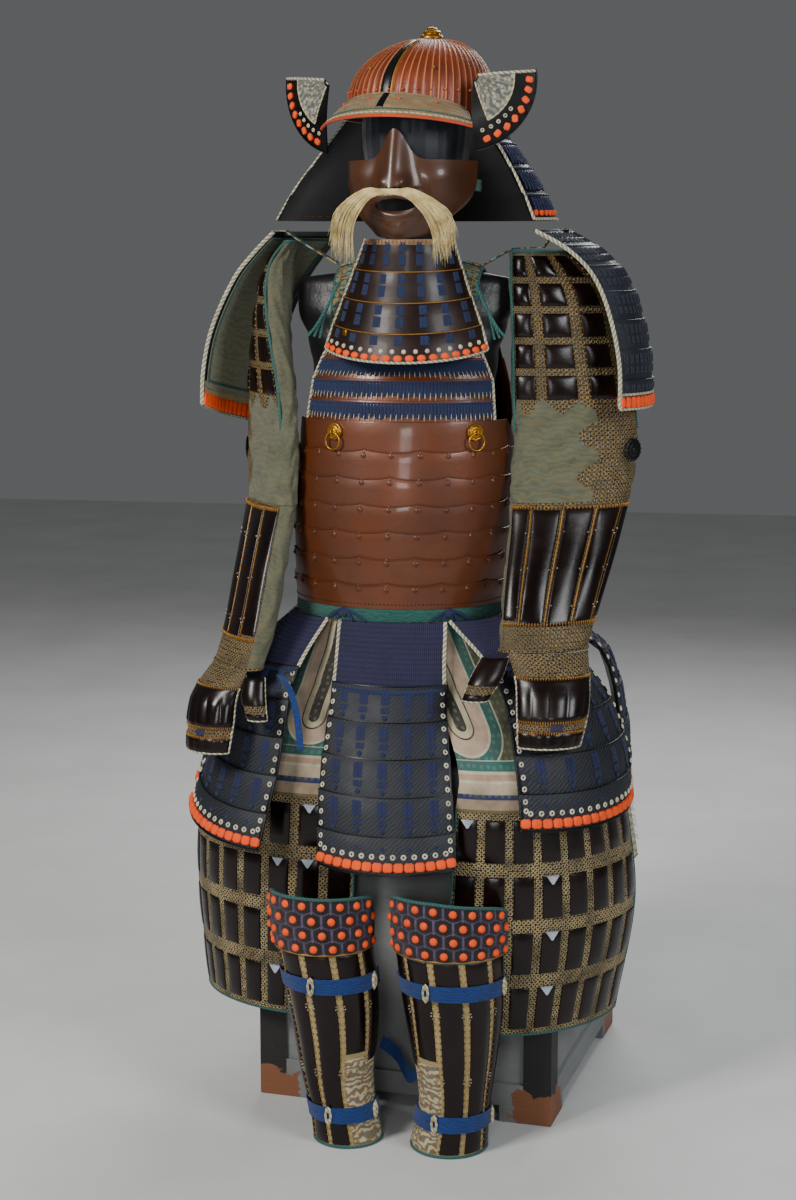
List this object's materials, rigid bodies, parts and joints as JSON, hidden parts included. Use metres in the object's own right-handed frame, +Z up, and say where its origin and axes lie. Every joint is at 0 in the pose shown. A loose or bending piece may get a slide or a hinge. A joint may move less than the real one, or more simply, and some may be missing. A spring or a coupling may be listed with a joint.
{
  "type": "samurai armour on a box and form stand",
  "caption": "Complete laced and plated Japanese armour with helmet, moustached mask and sleeves, set on its armour box with a limbless form.",
  "frame": {"origin": "on the floor under the middle of the whole outline", "axes": "+Z up; the armour faces -Y and the viewer's right is +X"},
  "size_m": [0.6976, 0.6948, 1.584],
  "materials": {
    "box_wood": "faded dark lacquer on wood, worn to orange-brown at edges and feet",
    "satin": "plain black satin over padding",
    "russet_lacquer": "iron in satin russet lacquer",
    "gilt": "aged gilt copper",
    "printed_leather": "tan printed leather with piped edge",
    "black_leather": "glossy black leather with a printed centre",
    "laced_lames": "blue-black lacquered leather lames with navy silk lacing",
    "mask_lacquer": "chocolate-brown lacquer",
    "horsehair": "blond horsehair",
    "brown_lacquer": "dark brown gloss lacquer plates",
    "navy_lacing": "close navy silk lacing",
    "teal_cloth": "woven teal silk binding",
    "brocade": "patterned silk brocade",
    "quilting": "quilted dark cloth",
    "blue_cord": "plaited blue silk strap"
  },
  "bodies": {
    "suit_and_stand": {"box_body": "box_wood", "box_lid": "box_wood", "stand_form": "satin", "helmet_bowl": "russet_lacquer", "helmet_finial": "gilt", "helmet_visor": "printed_leather", "helmet_turnback_left": "black_leather", "helmet_turnback_right": "black_leather", "helmet_neck_guard": "laced_lames", "face_mask": "mask_lacquer", "mask_tie": "navy_lacing", "moustache": "horsehair", "throat_guard": "brown_lacquer", "cuirass_chest": "navy_lacing", "cuirass_front_lower": "russet_lacquer", "cuirass_back": "russet_lacquer", "shoulder_strap_left": "teal_cloth", "shoulder_strap_right": "teal_cloth", "waist_band": "teal_cloth", "tasset_front_centre": "laced_lames", "tasset_front_left": "laced_lames", "tasset_front_right": "laced_lames", "tasset_side_left": "laced_lames", "tasset_side_right": "laced_lames", "tasset_back_left": "laced_lames", "tasset_back_right": "laced_lames", "thigh_yoke_left": "brocade", "thigh_panel_left": "brown_lacquer", "thigh_yoke_right": "brocade", "thigh_panel_right": "brown_lacquer", "sleeve_upper_left": "brocade", "sleeve_forearm_left": "brown_lacquer", "elbow_disc_left": "brown_lacquer", "sleeve_upper_right": "brocade", "sleeve_forearm_right": "brown_lacquer", "elbow_disc_right": "brown_lacquer", "hand_guard_left": "brown_lacquer", "thumb_guard_left": "brown_lacquer", "hand_guard_right": "brown_lacquer", "thumb_guard_right": "brown_lacquer", "shoulder_guard_left": "laced_lames", "shoulder_lining_left": "brocade", "shoulder_guard_right": "laced_lames", "shoulder_lining_right": "brocade", "shoulder_tie_left": "teal_cloth", "shoulder_tie_right": "teal_cloth", "knee_guard_left": "quilting", "shin_guard_left": "brown_lacquer", "shin_strap_upper_left": "blue_cord", "shin_strap_lower_left": "blue_cord", "knee_guard_right": "quilting", "shin_guard_right": "brown_lacquer", "shin_strap_upper_right": "blue_cord", "shin_strap_lower_right": "blue_cord"},
    "ring_left": {"chest_ring_left": "gilt"},
    "ring_right": {"chest_ring_right": "gilt"}
  },
  "joints": [
    {"name": "ring_left_swing", "type": "hinge", "parent": "suit_and_stand", "child": "ring_left", "pos_m": [-0.10222, -0.14063, 1.00692], "axis": [-0.8925, 0.4511, 0], "range_deg": [0, 95]},
    {"name": "ring_right_swing", "type": "hinge", "parent": "suit_and_stand", "child": "ring_right", "pos_m": [0.10641, -0.12341, 1.00692], "axis": [-0.7892, -0.6141, 0], "range_deg": [0, 95]}
  ]
}
